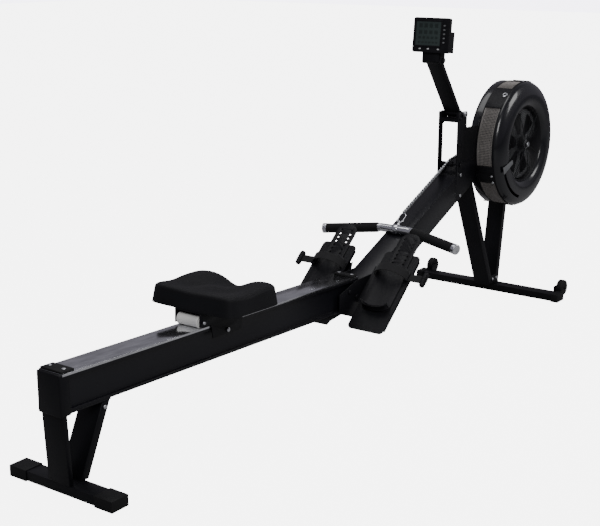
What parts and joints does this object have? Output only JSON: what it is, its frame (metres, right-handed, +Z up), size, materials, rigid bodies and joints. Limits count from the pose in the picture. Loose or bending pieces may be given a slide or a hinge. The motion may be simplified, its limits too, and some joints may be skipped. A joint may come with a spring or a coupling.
{
  "type": "rowing machine",
  "caption": "Air rowing machine with a sliding seat on a sloped rail, chain handle, caged fan, adjustable footrests and a folding monitor arm.",
  "frame": {"origin": "on the floor, under the middle of the machine's bounding box", "axes": "+X from the seat end to the fan, +Y the rower's left, +Z up"},
  "size_m": [2.5066, 0.612, 1.0627],
  "materials": {
    "frame_steel": "satin black powder coat",
    "rail_alloy": "satin bluish black anodised finish",
    "track_steel": "brushed along the rail",
    "bright_steel": "polished",
    "zinc": "bright zinc plate",
    "black_plastic": "fine moulded grain",
    "cover_plastic": "glossy black",
    "band_metal": "perforated grey steel",
    "roller_plastic": "translucent white",
    "seat_foam": "soft matt skin",
    "grip_foam": "matt foam",
    "rubber": "matt",
    "webbing": "woven webbing",
    "screen": "liquid crystal display",
    "button_plastic": "grey",
    "key_plastic": "light grey",
    "cord": "braided cord"
  },
  "bodies": {
    "frame": {"rear_foot_tube": "frame_steel", "foot_caps": "rubber", "rear_legs": "frame_steel", "frame_bolts": "zinc", "monorail": "rail_alloy", "track": "track_steel", "rail_stops": "rubber", "head_box": "frame_steel", "front_beam": "rail_alloy", "junction_plates": "frame_steel", "frame_latch": "frame_steel", "footboard_left": "black_plastic", "footboard_right": "black_plastic", "footrest_bar": "frame_steel", "front_legs": "frame_steel", "front_foot_tube": "frame_steel", "upright_left": "frame_steel", "upright_right": "frame_steel", "head_block": "black_plastic", "outlet_band": "band_metal", "cage_clamps": "black_plastic", "cover_left": "cover_plastic", "cover_right": "cover_plastic", "inlet_grille": "black_plastic", "axle_bearings": "zinc", "chain_guard": "black_plastic", "return_chain": "bright_steel", "shock_cord": "cord", "foot_strap_left": "webbing", "foot_strap_right": "webbing"},
    "seat": {"seat_frame": "frame_steel", "seat_pad": "seat_foam"},
    "rear_roller": {"rear_roller": "roller_plastic"},
    "front_roller": {"front_roller": "roller_plastic"},
    "guide_wheels": {"guide_wheels": "roller_plastic"},
    "handle": {"handle_bar": "bright_steel", "handle_grips": "grip_foam", "chain_ring": "bright_steel", "chain_run": "bright_steel"},
    "sprocket": {"sprocket": "bright_steel"},
    "guide_roller": {"guide_roller": "roller_plastic"},
    "fan_rotor": {"flywheel": "zinc", "fan_blades": "black_plastic", "axle": "bright_steel"},
    "damper": {"damper_ring": "button_plastic"},
    "heel_cup_left": {"heel_cup_left": "black_plastic"},
    "heel_cup_right": {"heel_cup_right": "black_plastic"},
    "monitor_arm": {"monitor_arm": "frame_steel"},
    "monitor": {"monitor_case": "black_plastic", "monitor_screen": "screen"},
    "wheel_left": {"wheel_left": "rubber"},
    "wheel_right": {"wheel_right": "rubber"},
    "button_1": {"button_1": "button_plastic"},
    "button_2": {"button_2": "button_plastic"},
    "button_3": {"button_3": "button_plastic"},
    "button_4": {"button_4": "button_plastic"},
    "button_5": {"button_5": "button_plastic"},
    "key_left": {"key_left": "key_plastic"},
    "key_middle": {"key_middle": "key_plastic"},
    "key_right": {"key_right": "key_plastic"}
  },
  "joints": [
    {"name": "seat_slide", "type": "slide", "parent": "frame", "child": "seat", "axis": [0.9994, 0, -0.0349], "range_m": [-0.43, 0.44]},
    {"name": "rear_roller_spin", "type": "hinge", "parent": "seat", "child": "rear_roller", "pos_m": [-0.74139, 0, 0.31976], "axis": [0, 1, 0], "range_deg": [-1453, 1487]},
    {"name": "front_roller_spin", "type": "hinge", "parent": "seat", "child": "front_roller", "pos_m": [-0.53751, 0, 0.31264], "axis": [0, 1, 0], "range_deg": [-1453, 1487]},
    {"name": "guide_wheels_spin", "type": "hinge", "parent": "seat", "child": "guide_wheels", "pos_m": [-0.64089, 0, 0.27482], "axis": [0, 1, 0], "range_deg": [-2525, 2468]},
    {"name": "handle_pull", "type": "slide", "parent": "frame", "child": "handle", "axis": [-0.5736, 0, 0.8192], "range_m": [0, 0.35], "stiffness_N_per_m": 40, "springref_m": -0.25, "deforming": ["chain_run"]},
    {"name": "sprocket_spin", "type": "hinge", "parent": "frame", "child": "sprocket", "pos_m": [1.0233, 0, 0.579], "axis": [0, -1, 0], "range_deg": [-2, 705]},
    {"name": "guide_roller_spin", "type": "hinge", "parent": "frame", "child": "guide_roller", "pos_m": [0.6733, 0, 0.54089], "axis": [0, -1, 0], "range_deg": [-2, 2010]},
    {"name": "fan_spin", "type": "hinge", "parent": "frame", "child": "fan_rotor", "pos_m": [1.0233, 0, 0.579], "axis": [0, -1, 0], "continuous": true},
    {"name": "damper_turn", "type": "hinge", "parent": "frame", "child": "damper", "pos_m": [1.0233, 0, 0.579], "axis": [0, -1, 0], "range_deg": [0, 50]},
    {"name": "heel_cup_left_slide", "type": "slide", "parent": "frame", "child": "heel_cup_left", "axis": [0.7581, 0, 0.6521], "range_m": [-0.064, 0]},
    {"name": "heel_cup_right_slide", "type": "slide", "parent": "frame", "child": "heel_cup_right", "axis": [0.7581, 0, 0.6521], "range_m": [-0.064, 0]},
    {"name": "arm_fold", "type": "hinge", "parent": "frame", "child": "monitor_arm", "pos_m": [0.6853, 0, 0.722], "axis": [0, 1, 0], "range_deg": [-48, 20]},
    {"name": "monitor_tilt", "type": "hinge", "parent": "monitor_arm", "child": "monitor", "pos_m": [0.53605, 0, 0.92006], "axis": [0, 1, 0], "range_deg": [-30, 30]},
    {"name": "button_1_press", "type": "slide", "parent": "monitor", "child": "button_1", "axis": [0.9945, 0, -0.1045], "range_m": [0, 0.0012], "stiffness_N_per_m": 500, "springref_m": -0.0005},
    {"name": "button_2_press", "type": "slide", "parent": "monitor", "child": "button_2", "axis": [0.9945, 0, -0.1045], "range_m": [0, 0.0012], "stiffness_N_per_m": 500, "springref_m": -0.0005},
    {"name": "button_3_press", "type": "slide", "parent": "monitor", "child": "button_3", "axis": [0.9945, 0, -0.1045], "range_m": [0, 0.0012], "stiffness_N_per_m": 500, "springref_m": -0.0005},
    {"name": "button_4_press", "type": "slide", "parent": "monitor", "child": "button_4", "axis": [0.9945, 0, -0.1045], "range_m": [0, 0.0012], "stiffness_N_per_m": 500, "springref_m": -0.0005},
    {"name": "button_5_press", "type": "slide", "parent": "monitor", "child": "button_5", "axis": [0.9945, 0, -0.1045], "range_m": [0, 0.0012], "stiffness_N_per_m": 500, "springref_m": -0.0005},
    {"name": "key_left_press", "type": "slide", "parent": "monitor", "child": "key_left", "axis": [0.9945, 0, -0.1045], "range_m": [0, 0.0012], "stiffness_N_per_m": 500, "springref_m": -0.0005},
    {"name": "key_middle_press", "type": "slide", "parent": "monitor", "child": "key_middle", "axis": [0.9945, 0, -0.1045], "range_m": [0, 0.0012], "stiffness_N_per_m": 500, "springref_m": -0.0005},
    {"name": "key_right_press", "type": "slide", "parent": "monitor", "child": "key_right", "axis": [0.9945, 0, -0.1045], "range_m": [0, 0.0012], "stiffness_N_per_m": 500, "springref_m": -0.0005},
    {"name": "wheel_left_spin", "type": "hinge", "parent": "frame", "child": "wheel_left", "pos_m": [1.0678, 0.282, 0.037], "axis": [0, 1, 0], "continuous": true},
    {"name": "wheel_right_spin", "type": "hinge", "parent": "frame", "child": "wheel_right", "pos_m": [1.0678, -0.282, 0.037], "axis": [0, 1, 0], "continuous": true}
  ],
  "couplings": [
    {"joint": "rear_roller_spin", "follows": "seat_slide", "rad_per_m": 58.824},
    {"joint": "front_roller_spin", "follows": "seat_slide", "rad_per_m": 58.824},
    {"joint": "guide_wheels_spin", "follows": "seat_slide", "rad_per_m": -100},
    {"joint": "sprocket_spin", "follows": "handle_pull", "rad_per_m": 35.043},
    {"joint": "guide_roller_spin", "follows": "handle_pull", "rad_per_m": 100}
  ]
}
